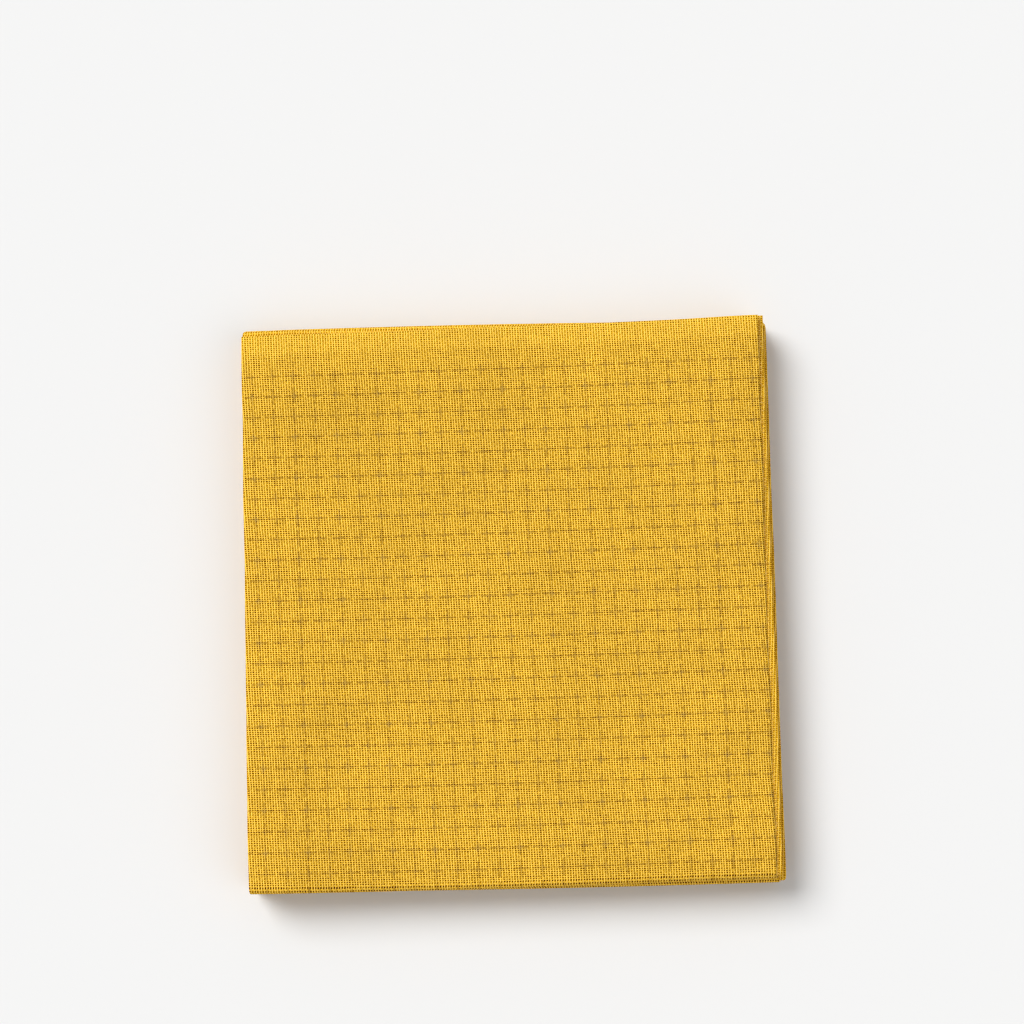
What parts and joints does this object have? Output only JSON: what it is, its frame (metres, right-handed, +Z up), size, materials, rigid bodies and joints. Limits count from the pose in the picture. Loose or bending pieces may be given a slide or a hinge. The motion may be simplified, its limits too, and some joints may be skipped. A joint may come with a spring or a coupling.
{
  "type": "folded sashiko cloth",
  "caption": "Cut length of mustard plain-woven cotton with a printed stitching grid, folded back and forth into a flat packet that lies on its underside.",
  "frame": {"origin": "middle of the packet's underside, on the surface that it lies on", "axes": "+X along the warp, across the band's folds; +Y from selvedge to selvedge, towards the side that holds both selvedges; +Z up through the layers"},
  "size_m": [0.1262, 0.1354, 0.0134],
  "materials": {
    "cotton": "matt plain-woven cotton, printed with a faint grey-brown grid"
  },
  "bodies": {
    "root": {"folded_cloth": "cotton"}
  },
  "joints": []
}
